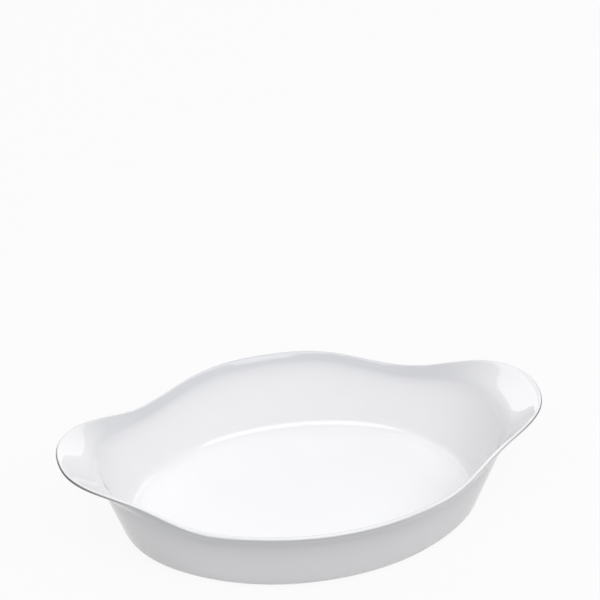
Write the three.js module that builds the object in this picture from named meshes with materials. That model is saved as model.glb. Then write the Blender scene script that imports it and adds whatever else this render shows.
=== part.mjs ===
// Oval baking dish with an ear at each end, pressed in one piece from white opal glass.
// Millimetres, +Z up. X runs from ear to ear and Y across the dish. The origin is the middle of the base,
// on the surface that the dish stands on.
import * as THREE from 'three';

// Overall size, measured over the rim
const overallLength = 320;
const overallWidth = 200;
const earHeight = 67.5;
const sideHeight = 53.5;
const waistHeight = 46; // towards which the rim falls between an ear and a long side

// Base oval, where the outside of the wall would meet the table if the heel were sharp
const baseLength = 233;
const baseWidth = 165;

// Rim seen from above: each ear and each long side swells out of the waist between them
const waistReach = 12; // from the base oval out to the rim at the waist
const earHalfWidth = 29; // from the middle of an ear to where half of its swell is left
const earBluntness = 2.5; // a higher figure gives a squarer swell
const sideHalfLength = 50;
const sideBluntness = 3.4;

// Rim seen from the side: its height swells in the same way
const earRiseHalfWidth = 44.5;
const earRiseBluntness = 3.5;
const sideRiseHalfLength = 61;
const sideRiseBluntness = 3.9;

// Lean of the wall from upright, in degrees
const earWallLean = 20.5;
const sideWallLean = 15;
const waistWallLean = 8.5;

// Shoulder, where the wall turns out into the lip or into the flat of an ear
const earShoulderDrop = 13.5; // below the middle of the rim's rounded edge
const sideShoulderDrop = 7.5;
const earShoulderRadius = 16;
const sideShoulderRadius = 30;

// Thickness of the glass
const floorThickness = 4.5;
const wallThickness = 3.6; // at the foot of the wall, which thins evenly towards the shoulder
const rimThickness = 2.6; // of the lip and the ears, whose edge is fully rounded

// Underside and fillets
const heelRadius = 10; // outside, between the foot and the wall
const floorFilletRadius = 10; // inside, between the wall and the floor
const footInset = 20; // from the base oval in to where the foot ends
const recessDepth = 0.8; // of the underside within the foot
const recessRun = 3; // width of the slope from the foot up into the recess
const endLegShare = 0.9; // most of a straight leg that a fillet may take up at the end of a section
const innerLegShare = 0.45; // the same on a leg that has a fillet at both of its ends

// Facets
const columns = 120; // around the dish
const earCrowding = 0.15; // how far the columns draw together at the ears, where the rim turns tightest
const arcSteps = 5;
const edgeSteps = 6;
const wallSteps = 3;
const lipSteps = 2;

// 1 in the middle of a swell, one half at its half width and nothing far away.
function swell(distance, halfWidth, bluntness) {
  return 2 ** -((Math.abs(distance) / halfWidth) ** bluntness);
}

// A size that has one value at the waist and swells to another at the ears and at the long sides.
function swollen(waist, ear, side, share) {
  return waist + (ear - waist) * share.ear + (side - waist) * share.side;
}

// Left-hand side of a direction. Along a section that rises up the wall this is the inside of the dish.
function leftOf(direction) {
  return new THREE.Vector2(-direction.y, direction.x);
}

// Direction that leans outward from upright by an angle in radians.
function leaning(angle) {
  return new THREE.Vector2(Math.sin(angle), Math.cos(angle));
}

// What is local to one angle around the base oval: where it lies, which way is out, and its sizes there.
function stationAt(angle) {
  const along = baseLength / 2;
  const across = baseWidth / 2;
  const base = new THREE.Vector2(along * Math.cos(angle), across * Math.sin(angle));
  const outward = new THREE.Vector2(across * Math.cos(angle), along * Math.sin(angle)).normalize();
  const spread = {
    ear: swell(base.y, earHalfWidth, earBluntness),
    side: swell(base.x, sideHalfLength, sideBluntness),
  };
  const rise = {
    ear: swell(base.y, earRiseHalfWidth, earRiseBluntness),
    side: swell(base.x, sideRiseHalfLength, sideRiseBluntness),
  };
  const earReach = (overallLength - baseLength) / 2;
  const sideReach = (overallWidth - baseWidth) / 2;
  return {
    base,
    outward,
    reach: swollen(waistReach, earReach, sideReach, spread),
    height: swollen(waistHeight, earHeight, sideHeight, rise),
    lean: THREE.MathUtils.degToRad(swollen(waistWallLean, earWallLean, sideWallLean, rise)),
    shoulderDrop: THREE.MathUtils.lerp(sideShoulderDrop, earShoulderDrop, rise.ear),
    shoulderRadius: THREE.MathUtils.lerp(sideShoulderRadius, earShoulderRadius, rise.ear),
  };
}

// Arc that rounds a corner. The room is the longest stretch of either leg that the arc may take up.
function roundedCorner(before, corner, after, radius, room) {
  const arriving = corner.clone().sub(before).normalize();
  const leaving = after.clone().sub(corner).normalize();
  const turn = arriving.angleTo(leaving);
  const side = Math.sign(arriving.cross(leaving));
  const arcRadius = Math.min(radius, room / Math.tan(turn / 2));
  const start = corner.clone().addScaledVector(arriving, -arcRadius * Math.tan(turn / 2));
  const centre = start.clone().addScaledVector(leftOf(arriving), side * arcRadius);
  const arc = [];
  for (let step = 0; step <= arcSteps; step++) {
    arc.push(start.clone().rotateAround(centre, side * turn * step / arcSteps));
  }
  return arc;
}

// A run of straight legs with rounded corners, each leg cut into its own number of steps.
function roundedPath(corners, radii, legSteps) {
  const last = corners.length - 1;
  const roomOn = (leg) => {
    const share = leg === 0 || leg === last - 1 ? endLegShare : innerLegShare;
    return share * corners[leg].distanceTo(corners[leg + 1]);
  };
  const path = [corners[0]];
  for (let leg = 0; leg < last; leg++) {
    const [before, corner, after] = corners.slice(leg, leg + 3);
    const bend = after
      ? roundedCorner(before, corner, after, radii[leg], Math.min(roomOn(leg), roomOn(leg + 1)))
      : [corner];
    const legStart = path.at(-1);
    for (let step = 1; step < legSteps[leg]; step++) {
      path.push(legStart.clone().lerp(bend[0], step / legSteps[leg]));
    }
    path.push(...bend);
  }
  return path;
}

// Section of the glass at a station, as (outward, up) points from the base oval. It runs from the recess
// under the base, up the outside, over the rounded edge and down the inside to the floor.
function sectionAt(station) {
  const wall = leaning(station.lean);
  const edgeRadius = rimThickness / 2;
  const edge = new THREE.Vector2(station.reach - edgeRadius, station.height - edgeRadius);
  const heel = new THREE.Vector2(0, 0);
  const shoulder = wall.clone().multiplyScalar((edge.y - station.shoulderDrop) / wall.y);

  const toEdge = edge.clone().sub(shoulder);
  const lip = leaning(Math.atan2(toEdge.x, toEdge.y) + Math.asin(edgeRadius / toEdge.length()));
  const underEdge = edge.clone().addScaledVector(leftOf(lip), -edgeRadius);
  const overEdge = edge.clone().addScaledVector(leftOf(lip), edgeRadius);

  const mitre = leftOf(wall).add(leftOf(lip)).divideScalar(1 + wall.dot(lip));
  const innerShoulder = shoulder.clone().addScaledVector(mitre, rimThickness);
  const wallFoot = heel.clone().addScaledVector(leftOf(wall), wallThickness);
  const floorShare = (floorThickness - wallFoot.y) / (innerShoulder.y - wallFoot.y);
  const innerHeel = wallFoot.clone().lerp(innerShoulder, floorShare);

  const recessEdge = new THREE.Vector2(-footInset - recessRun, recessDepth);
  const footEdge = new THREE.Vector2(-footInset, 0);
  const floorEdge = new THREE.Vector2(-footInset, floorThickness);
  const outside = roundedPath(
    [footEdge, heel, shoulder, underEdge],
    [heelRadius, station.shoulderRadius],
    [1, wallSteps, lipSteps],
  );
  const inside = roundedPath(
    [overEdge, innerShoulder, innerHeel, floorEdge],
    [station.shoulderRadius + rimThickness, floorFilletRadius],
    [lipSteps, wallSteps, 1],
  );
  const roundEdge = [];
  for (let step = 1; step < edgeSteps; step++) {
    roundEdge.push(underEdge.clone().rotateAround(edge, Math.PI * step / edgeSteps));
  }
  return [recessEdge, ...outside, ...roundEdge, ...inside];
}

// Closed skin over the sections. It closes on a point in the middle of the underside and one in the
// middle of the floor.
function skinOver(stations) {
  const sections = stations.map(sectionAt);
  const rows = sections[0].length;
  const points = [new THREE.Vector3(0, 0, recessDepth), new THREE.Vector3(0, 0, floorThickness)];
  const underside = 0;
  const floor = 1;
  const firstRow = points.length;
  for (let row = 0; row < rows; row++) {
    stations.forEach(({ base, outward }, column) => {
      const { x: out, y: up } = sections[column][row];
      points.push(new THREE.Vector3(base.x + outward.x * out, base.y + outward.y * out, up));
    });
  }
  const at = (row, column) => firstRow + row * columns + column % columns;
  const triangles = [];
  for (let column = 0; column < columns; column++) {
    triangles.push(underside, at(0, column + 1), at(0, column));
    for (let row = 0; row < rows - 1; row++) {
      triangles.push(at(row, column), at(row, column + 1), at(row + 1, column + 1));
      triangles.push(at(row, column), at(row + 1, column + 1), at(row + 1, column));
    }
    triangles.push(floor, at(rows - 1, column), at(rows - 1, column + 1));
  }
  const skin = new THREE.BufferGeometry().setFromPoints(points);
  skin.setIndex(triangles);
  skin.computeVertexNormals();
  return skin;
}

// Angle of a column around the base oval.
function columnAngle(column) {
  const even = 2 * Math.PI * column / columns;
  return even - earCrowding * Math.sin(2 * even);
}

const stations = Array.from({ length: columns }, (_, column) => stationAt(columnAngle(column)));
const opalGlass = new THREE.MeshStandardMaterial({ color: 0xf3f3f5, roughness: 0.08, metalness: 0 });
const dish = new THREE.Mesh(skinOver(stations), opalGlass);
dish.name = 'dish';

const ovalBakingDish = new THREE.Group();
ovalBakingDish.add(dish);

export default ovalBakingDish;
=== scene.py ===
import math

import bpy
from mathutils import Matrix, Vector


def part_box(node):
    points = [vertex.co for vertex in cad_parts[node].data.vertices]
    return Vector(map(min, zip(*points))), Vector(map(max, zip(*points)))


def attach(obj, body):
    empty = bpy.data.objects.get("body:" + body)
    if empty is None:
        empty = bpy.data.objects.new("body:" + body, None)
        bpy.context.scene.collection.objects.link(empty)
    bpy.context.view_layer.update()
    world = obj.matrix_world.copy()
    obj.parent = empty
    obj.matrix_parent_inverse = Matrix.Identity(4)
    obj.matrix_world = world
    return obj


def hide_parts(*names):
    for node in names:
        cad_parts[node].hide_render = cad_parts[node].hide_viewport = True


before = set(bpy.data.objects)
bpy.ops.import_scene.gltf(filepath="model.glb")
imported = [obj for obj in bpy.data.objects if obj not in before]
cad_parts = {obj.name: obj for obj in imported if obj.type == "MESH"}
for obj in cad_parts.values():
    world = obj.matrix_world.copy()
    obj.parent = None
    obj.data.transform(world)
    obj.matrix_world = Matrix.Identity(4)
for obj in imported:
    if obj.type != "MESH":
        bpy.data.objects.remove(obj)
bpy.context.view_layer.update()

# Dish. Floor, wall, rim and both ears are one piece of white opal glass, and nothing is fixed to it. A gob
# of molten glass is pressed between a mould and a plunger, and a flame then melts the rim round and smooth.
# Sizes in metres. X runs from ear to ear, and the dish stands on its foot at z = 0.
low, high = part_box("dish")
overall_length = high.x - low.x
overall_width = high.y - low.y
ear_height = high.z
side_height = 0.0535
waist_height = 0.046  # towards which the rim falls between an ear and a long side

base_length = 0.233  # base oval, where the outside of the wall would meet a sharp heel
base_width = 0.165

waist_reach = 0.012  # from the base oval out to the rim at the waist
ear_half_width = 0.029  # from the middle of an ear to where half of its swell is left
ear_bluntness = 2.5  # a higher figure gives a squarer swell
side_half_length = 0.05
side_bluntness = 3.4
ear_rise_half_width = 0.0445
ear_rise_bluntness = 3.5
side_rise_half_length = 0.061
side_rise_bluntness = 3.9

ear_wall_lean = math.radians(20.5)  # from upright
side_wall_lean = math.radians(15)
waist_wall_lean = math.radians(8.5)

ear_shoulder_drop = 0.0135  # below the middle of the rim's rounded edge
side_shoulder_drop = 0.0075
ear_shoulder_radius = 0.016
side_shoulder_radius = 0.03

floor_thickness = 0.0045
wall_thickness = 0.0036  # at the foot of the wall, which thins evenly towards the shoulder
rim_thickness = 0.0026
edge_radius = rim_thickness / 2

heel_radius = 0.01
floor_fillet_radius = 0.01
foot_inset = 0.02  # from the base oval in to where the foot ends
recess_depth = 0.0008
recess_run = 0.003
end_leg_share = 0.9  # most of a straight leg that a fillet may take up at the end of a section
inner_leg_share = 0.45  # the same on a leg that has a fillet at both of its ends

# Painted shade: the white is greyed towards the rim, outside just under the lip and inside along the lip,
# where shade falls. A dark painted shadow line also runs along the underside of the rounded edge.
outer_rim_shade_power = 3.2  # painted shade, greyer towards the rim where shade falls under the lip: a higher figure keeps it nearer to the rim
inner_rim_shade_power = 11
side_lip_rim_shade = 0.74  # how strong that painted shade is inside the lip, which at the ears stays white
side_lip_start = 0.6  # of the way up from the shoulder, above which that painted shade is even
edge_rim_shade_turn = math.radians(130)  # how far round the edge, from its underside, that painted shade begins
ear_shade_line_turn = math.radians(120)  # how far round the edge, from its underside, the painted shadow line reaches at the ears
side_shade_line_turn = math.radians(30)
side_shade_line_share = 0.5  # how dark that painted shadow line is at the long sides, when at the ears it is full
waist_shade_line_share = 0.15

columns = 360
ear_crowding = 0.15  # how far the columns draw together at the ears, where the rim turns tightest
arc_steps = 10
foot_steps = 2
wall_steps = 6
lip_steps = 5
edge_steps = 12
floor_rings = 12
edge_step = math.pi / edge_steps
edge_turns = [math.pi * step / edge_steps for step in range(1, edge_steps)]


def swell(distance, half_width, bluntness):
    """1 in the middle of a swell, one half at its half width and nothing far away."""
    return 2 ** -((abs(distance) / half_width) ** bluntness)


def blended(waist, ear, side, ear_share, side_share):
    """A size that has one value at the waist and swells to another at the ears and at the long sides."""
    return waist + (ear - waist) * ear_share + (side - waist) * side_share


def left_of(direction):
    """Left-hand side of a direction, which on a section that rises up the wall is the inside of the dish."""
    return Vector((-direction.y, direction.x))


def leaning(angle):
    return Vector((math.sin(angle), math.cos(angle)))


def turned(point, centre, angle):
    return centre + Matrix.Rotation(angle, 2) @ (point - centre)


def rounded_corner(before, corner, after, radius, room):
    """Arc that rounds a corner. The room is the longest stretch of either leg that the arc may take up."""
    arriving = (corner - before).normalized()
    leaving = (after - corner).normalized()
    turn = math.acos(arriving.dot(leaving))
    side = math.copysign(1, arriving.x * leaving.y - arriving.y * leaving.x)
    arc_radius = min(radius, room / math.tan(turn / 2))
    start = corner - arriving * arc_radius * math.tan(turn / 2)
    centre = start + left_of(arriving) * side * arc_radius
    return [turned(start, centre, side * turn * step / arc_steps) for step in range(arc_steps + 1)]


def rounded_path(corners, radii, leg_steps):
    """A run of straight legs with rounded corners, each leg cut into its own number of steps."""
    last = len(corners) - 1
    room = []
    for leg in range(last):
        share = end_leg_share if leg in (0, last - 1) else inner_leg_share
        room.append(share * (corners[leg + 1] - corners[leg]).length)
    path = [corners[0]]
    for leg in range(last):
        if leg < last - 1:
            bend = rounded_corner(*corners[leg:leg + 3], radii[leg], min(room[leg:leg + 2]))
        else:
            bend = [corners[last]]
        leg_start = path[-1]
        for step in range(1, leg_steps[leg]):
            path.append(leg_start.lerp(bend[0], step / leg_steps[leg]))
        path.extend(bend)
    return path


def climbs(points, top):
    """How far each point of a section has climbed from the floor to a height, as a share of the way."""
    return [max(0, point.y - floor_thickness) / (top - floor_thickness) for point in points]


def edge_shade_line(ear_spread, side_spread):
    """How dark the painted shadow line is at each point of the rounded edge, standing in for the shade on its
    underside. It fades out over one step of the edge.
    """
    shade_line_turn = side_shade_line_turn + (ear_shade_line_turn - side_shade_line_turn) * ear_spread
    shade_line_share = min(1, blended(waist_shade_line_share, 1, side_shade_line_share, ear_spread, side_spread))
    shade_line_end = shade_line_turn + edge_step / 2
    return [shade_line_share * min(1, max(0, (shade_line_end - turn) / edge_step)) for turn in edge_turns]


def section_at(base):
    """Section of the glass over one point of the base oval, as (outward, up) points. It runs from the recess
    under the base, up the outside, over the rounded edge and down the inside to the floor. Each point has two
    shares with it: how much painted shade greys it near the rim, and how much of the painted shadow line
    under the rounded edge it carries."""
    ear_spread = swell(base.y, ear_half_width, ear_bluntness)
    side_spread = swell(base.x, side_half_length, side_bluntness)
    ear_rise = swell(base.y, ear_rise_half_width, ear_rise_bluntness)
    side_rise = swell(base.x, side_rise_half_length, side_rise_bluntness)
    ear_reach = (overall_length - base_length) / 2
    side_reach = (overall_width - base_width) / 2
    reach = blended(waist_reach, ear_reach, side_reach, ear_spread, side_spread)
    height = blended(waist_height, ear_height, side_height, ear_rise, side_rise)
    lean = blended(waist_wall_lean, ear_wall_lean, side_wall_lean, ear_rise, side_rise)
    shoulder_drop = side_shoulder_drop + (ear_shoulder_drop - side_shoulder_drop) * ear_rise
    shoulder_radius = side_shoulder_radius + (ear_shoulder_radius - side_shoulder_radius) * ear_rise

    wall = leaning(lean)
    edge = Vector((reach - edge_radius, height - edge_radius))
    heel = Vector((0, 0))
    shoulder = wall * (edge.y - shoulder_drop) / wall.y
    to_edge = edge - shoulder
    lip = leaning(math.atan2(to_edge.x, to_edge.y) + math.asin(edge_radius / to_edge.length))
    under_edge = edge - left_of(lip) * edge_radius
    over_edge = edge + left_of(lip) * edge_radius

    mitre = (left_of(wall) + left_of(lip)) / (1 + wall.dot(lip))
    inner_shoulder = shoulder + mitre * rim_thickness
    wall_foot = left_of(wall) * wall_thickness
    floor_share = (floor_thickness - wall_foot.y) / (inner_shoulder.y - wall_foot.y)
    inner_heel = wall_foot.lerp(inner_shoulder, floor_share)

    recess_edge = Vector((-foot_inset - recess_run, recess_depth))
    foot_edge = Vector((-foot_inset, 0))
    floor_edge = Vector((-foot_inset, floor_thickness))
    from_foot = rounded_path(
        [foot_edge, heel, shoulder, under_edge],
        [heel_radius, shoulder_radius],
        [foot_steps, wall_steps, lip_steps],
    )
    outside = [recess_edge, *from_foot]
    round_edge = [turned(under_edge, edge, turn) for turn in edge_turns]
    inside = rounded_path(
        [over_edge, inner_shoulder, inner_heel, floor_edge],
        [shoulder_radius + rim_thickness, floor_fillet_radius],
        [lip_steps, wall_steps, foot_steps],
    )
    section = outside + round_edge + inside

    # Painted shade near the rim and the painted shadow line under the edge, as shares for the colour.
    lip_rim_shade = side_lip_rim_shade * (1 - ear_spread)
    lip_start = shoulder.y + shoulder_drop * side_lip_start * (1 - ear_rise)
    outer_rim_shade = [climb ** outer_rim_shade_power for climb in climbs(outside, edge.y)]
    edge_rim_shade = [lip_rim_shade if turn > edge_rim_shade_turn else 0 for turn in edge_turns]
    inner_rim_shade = [
        lip_rim_shade * min(1, climb) ** inner_rim_shade_power for climb in climbs(inside, lip_start)
    ]
    painted_rim_shade = outer_rim_shade + edge_rim_shade + inner_rim_shade
    painted_shade_line = [0] * len(outside) + edge_shade_line(ear_spread, side_spread) + [0] * len(inside)
    return section, painted_rim_shade, painted_shade_line


def dish_column(column):
    """Points over one column of the dish, from the middle of the underside round to the middle of the floor,
    with the two painted shade shares of each."""
    even = 2 * math.pi * column / columns
    angle = even - ear_crowding * math.sin(2 * even)
    base = Vector((base_length / 2 * math.cos(angle), base_width / 2 * math.sin(angle)))
    outward = Vector((base_width * math.cos(angle), base_length * math.sin(angle))).normalized()
    section, painted_rim_shade, painted_shade_line = section_at(base)
    skin = [(base + outward * out).to_3d() + Vector((0, 0, up)) for out, up in section]
    steps = [ring / floor_rings for ring in range(1, floor_rings)]
    underside = [Vector((0, 0, recess_depth)).lerp(skin[0], step) for step in steps]
    floor = [Vector((0, 0, floor_thickness)).lerp(skin[-1], step) for step in reversed(steps)]
    unshaded = [0] * len(steps)
    return [*underside, *skin, *floor], [*unshaded, *painted_rim_shade, *unshaded], [*unshaded, *painted_shade_line, *unshaded]


def dish_mesh():
    points = [Vector((0, 0, recess_depth)), Vector((0, 0, floor_thickness))]
    underside_middle = 0
    floor_middle = 1
    painted_rim_shade = [0] * len(points)
    painted_shade_line = [0] * len(points)
    first = len(points)
    for column in range(columns):
        column_points, column_rim_shade, column_shade_line = dish_column(column)
        rows = len(column_points)
        points.extend(column_points)
        painted_rim_shade.extend(column_rim_shade)
        painted_shade_line.extend(column_shade_line)
    faces = []
    for column in range(columns):
        here = first + column * rows
        there = first + (column + 1) % columns * rows
        faces.append((underside_middle, there, here))
        for row in range(rows - 1):
            faces.append((here + row, there + row, there + row + 1, here + row + 1))
        faces.append((floor_middle, here + rows - 1, there + rows - 1))
    mesh = bpy.data.meshes.new("dish_glass")
    mesh.from_pydata(points, [], faces)
    # Shares of painted shade near the rim and of the painted shadow line under the edge.
    mesh.attributes.new("painted_rim_shade", "FLOAT", "POINT").data.foreach_set("value", painted_rim_shade)
    mesh.attributes.new("painted_shade_line", "FLOAT", "POINT").data.foreach_set("value", painted_shade_line)
    mesh.shade_smooth()
    return mesh


def linear(hex_colour):
    """Linear colour of an sRGB hex value."""
    channels = [int(hex_colour[start:start + 2], 16) / 255 for start in (1, 3, 5)]
    return [c / 12.92 if c <= 0.04045 else ((c + 0.055) / 1.055) ** 2.4 for c in channels] + [1.0]


def add_node(tree, kind, settings, values, links):
    """Adds a node with its settings, the values of its inputs and the outputs that are linked to them."""
    node = tree.nodes.new(kind)
    for name, setting in settings.items():
        setattr(node, name, setting)
    for socket, value in values.items():
        node.inputs[socket].default_value = value
    for socket, output in links.items():
        tree.links.new(output, node.inputs[socket])
    return node


# Opal glass, pressed and fire polished. The eye sees an even white, very faintly clouded, with a crisp gloss
# in which reflected edges waver a little. Towards the rim the white is greyed with painted shade, and a thin
# dark line along the underside of the rounded edge is a painted shadow.
opal_white = "#F3F3F5"
opal_cloud = "#F0F0F2"
# Painted shade: the grey near the rim, and the dark painted shadow line under the rounded edge.
rim_shade_grey = "#CFD0D4"
edge_shade_line_grey = "#606266"
cloud_size = 0.06  # from one cloud in the white to the next
cloud_detail = 2.0
ripple_size = 0.045  # from one low wave of the pressed skin, which is never quite flat, to the next
ripple_detail = 1.0
ripple_height = 0.00002
glass_ior = 1.5
smoothest_polish = 0.02  # roughness, which drifts between the two as the clouds do
dullest_polish = 0.04
colour_mix = {"A": 6, "B": 7, "Result": 2}  # places of the colour sockets on a mix node


def pressed_opal_glass():
    material = bpy.data.materials.new("pressed_opal_glass")
    material.use_nodes = True
    tree = material.node_tree
    tree.nodes.clear()
    place = add_node(tree, "ShaderNodeTexCoord", {}, {}, {}).outputs["Object"]
    painted_rim_shade, painted_shade_line = [
        add_node(tree, "ShaderNodeAttribute", {"attribute_name": share}, {}, {}).outputs["Fac"]
        for share in ("painted_rim_shade", "painted_shade_line")
    ]
    cloud, ripple = [
        add_node(
            tree, "ShaderNodeTexNoise", {}, {"Scale": 1 / size, "Detail": detail}, {"Vector": place}
        ).outputs["Fac"]
        for size, detail in ((cloud_size, cloud_detail), (ripple_size, ripple_detail))
    ]
    colour_below = {}
    # Over the white: a faint random cloud, then painted shade near the rim, then the painted shadow line
    # under the edge.
    for share, tint in ((cloud, opal_cloud), (painted_rim_shade, rim_shade_grey), (painted_shade_line, edge_shade_line_grey)):
        colour = add_node(
            tree,
            "ShaderNodeMix",
            {"data_type": "RGBA"},
            {colour_mix["A"]: linear(opal_white), colour_mix["B"]: linear(tint)},
            {"Factor": share, **colour_below},
        ).outputs[colour_mix["Result"]]
        colour_below = {colour_mix["A"]: colour}
    bump = add_node(
        tree, "ShaderNodeBump", {}, {"Distance": ripple_height}, {"Height": ripple}
    ).outputs["Normal"]
    roughness = add_node(
        tree,
        "ShaderNodeMapRange",
        {},
        {"To Min": smoothest_polish, "To Max": dullest_polish},
        {"Value": cloud},
    ).outputs["Result"]
    shader = add_node(
        tree,
        "ShaderNodeBsdfPrincipled",
        {},
        {"IOR": glass_ior},
        {"Base Color": colour, "Roughness": roughness, "Normal": bump},
    ).outputs["BSDF"]
    add_node(tree, "ShaderNodeOutputMaterial", {}, {}, {"Surface": shader})
    return material


dish = bpy.data.objects.new("dish_glass", dish_mesh())
dish.data.materials.append(pressed_opal_glass())
bpy.context.collection.objects.link(dish)
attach(dish, "root")
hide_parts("dish")

# Floor. A wide sheet of matt white board that the dish stands on. What the camera and the glass see of it
# is mostly plain white, and the rest of it keeps the shadow of the dish.
floor_size = 30
floor_gap = 0.0001  # below the foot, so that the two faces don't fight
board_white = "#D0D0D0"
plain_white = "#FFFFFF"
plain_strength = 1.0  # at which the plain white shows as it is written
plain_share = 0.92


def matt_white_board():
    material = bpy.data.materials.new("matt_white_board")
    material.use_nodes = True
    tree = material.node_tree
    tree.nodes.clear()
    path = add_node(tree, "ShaderNodeLightPath", {}, {}, {}).outputs
    seen = path["Is Camera Ray"]
    for kind in ("Is Glossy Ray", "Is Transmission Ray"):
        seen = add_node(
            tree, "ShaderNodeMath", {"operation": "MAXIMUM"}, {}, {0: seen, 1: path[kind]}
        ).outputs["Value"]
    share = add_node(
        tree, "ShaderNodeMath", {"operation": "MULTIPLY"}, {1: plain_share}, {0: seen}
    ).outputs["Value"]
    board = add_node(tree, "ShaderNodeBsdfDiffuse", {}, {"Color": linear(board_white)}, {}).outputs["BSDF"]
    plain = add_node(
        tree, "ShaderNodeEmission", {}, {"Color": linear(plain_white), "Strength": plain_strength}, {}
    ).outputs["Emission"]
    mix = add_node(tree, "ShaderNodeMixShader", {}, {}, {"Fac": share, 1: board, 2: plain}).outputs["Shader"]
    add_node(tree, "ShaderNodeOutputMaterial", {}, {}, {"Surface": mix})
    return material


floor_half = floor_size / 2
floor_mesh = bpy.data.meshes.new("floor")
floor_signs = [(-1, -1), (1, -1), (1, 1), (-1, 1)]
floor_corners = [(x * floor_half, y * floor_half, -floor_gap) for x, y in floor_signs]
floor_mesh.from_pydata(floor_corners, [], [(0, 1, 2, 3)])
floor_mesh.materials.append(matt_white_board())
floor = bpy.data.objects.new("floor", floor_mesh)
bpy.context.collection.objects.link(floor)

# Light. A wide softbox above the camera lights the inside of the dish. Three level panels hang side by side
# over the dish and run off to the back, a bright one, a wide dim one and another bright one, and the bright
# ones show in the gloss of the ears. The room adds a little from all round.
front_elevation = math.radians(57)
front_distance = 1.6
front_width = 2.4
front_depth = 0.86
front_radiance = 3.2
panel_height = 1.0
panel_start = -0.05  # along Y
panel_depth = 12.0
left_panel_edges = (-0.54, -0.32)  # along X
right_panel_edges = (0.9, 1.72)
left_panel_radiance = 2.1
middle_panel_radiance = 0.45
right_panel_radiance = 1.5


def softbox(name, middle, facing, width, depth, radiance):
    """Area light whose power follows its area, so that its size doesn't change how bright its face is."""
    light = bpy.data.lights.new(name, "AREA")
    light.shape = "RECTANGLE"
    light.size = width
    light.size_y = depth
    light.energy = radiance * math.pi * width * depth
    lamp = bpy.data.objects.new(name, light)
    lamp.location = middle
    lamp.rotation_mode = "QUATERNION"
    lamp.rotation_quaternion = Vector(facing).to_track_quat("-Z", "Y")
    lamp.visible_camera = False
    bpy.context.collection.objects.link(lamp)


def level_panel(name, edges, radiance):
    middle = (sum(edges) / 2, panel_start + panel_depth / 2, panel_height)
    softbox(name, middle, (0, 0, -1), edges[1] - edges[0], panel_depth, radiance)


to_front = Vector((0, -math.cos(front_elevation), math.sin(front_elevation)))
softbox("front_softbox", to_front * front_distance, -to_front, front_width, front_depth, front_radiance)
level_panel("left_panel", left_panel_edges, left_panel_radiance)
level_panel("middle_panel", (left_panel_edges[1], right_panel_edges[0]), middle_panel_radiance)
level_panel("right_panel", right_panel_edges, right_panel_radiance)

room_white = "#FFFFFF"
room_strength = 0.25
room = bpy.data.worlds.new("room")
room.use_nodes = True
bpy.context.scene.world = room
sky = room.node_tree
sky.nodes.clear()
air = add_node(
    sky, "ShaderNodeBackground", {}, {"Color": linear(room_white), "Strength": room_strength}, {}
).outputs["Background"]
add_node(sky, "ShaderNodeOutputWorld", {}, {}, {"Surface": air})

# Camera. It looks down at the dish from a little left of the front, from far enough away that the two ears
# keep nearly the same scale.
camera_azimuth = math.radians(-15.068)
camera_elevation = math.radians(34.691)
camera_distance = 2.5
sensor_width = 36  # millimetres
image_width = 600  # pixels
pixels_per_metre = 1531.1  # at the middle of the base
aim_right = -0.000808  # from the middle of the base to the middle of the picture
aim_up = 0.134927

right = Vector((math.cos(camera_azimuth), math.sin(camera_azimuth), 0))
back = Vector(
    (
        math.sin(camera_azimuth) * math.cos(camera_elevation),
        -math.cos(camera_azimuth) * math.cos(camera_elevation),
        math.sin(camera_elevation),
    )
)
up = back.cross(right)
lens = bpy.data.cameras.new("camera")
lens.sensor_width = sensor_width
lens.lens = sensor_width * pixels_per_metre * camera_distance / image_width
camera = bpy.data.objects.new("camera", lens)
camera.location = right * aim_right + up * aim_up + back * camera_distance
camera.rotation_mode = "QUATERNION"
camera.rotation_quaternion = (-back).to_track_quat("-Z", "Y")
bpy.context.collection.objects.link(camera)
bpy.context.scene.camera = camera
bpy.context.scene.view_settings.view_transform = "Standard"
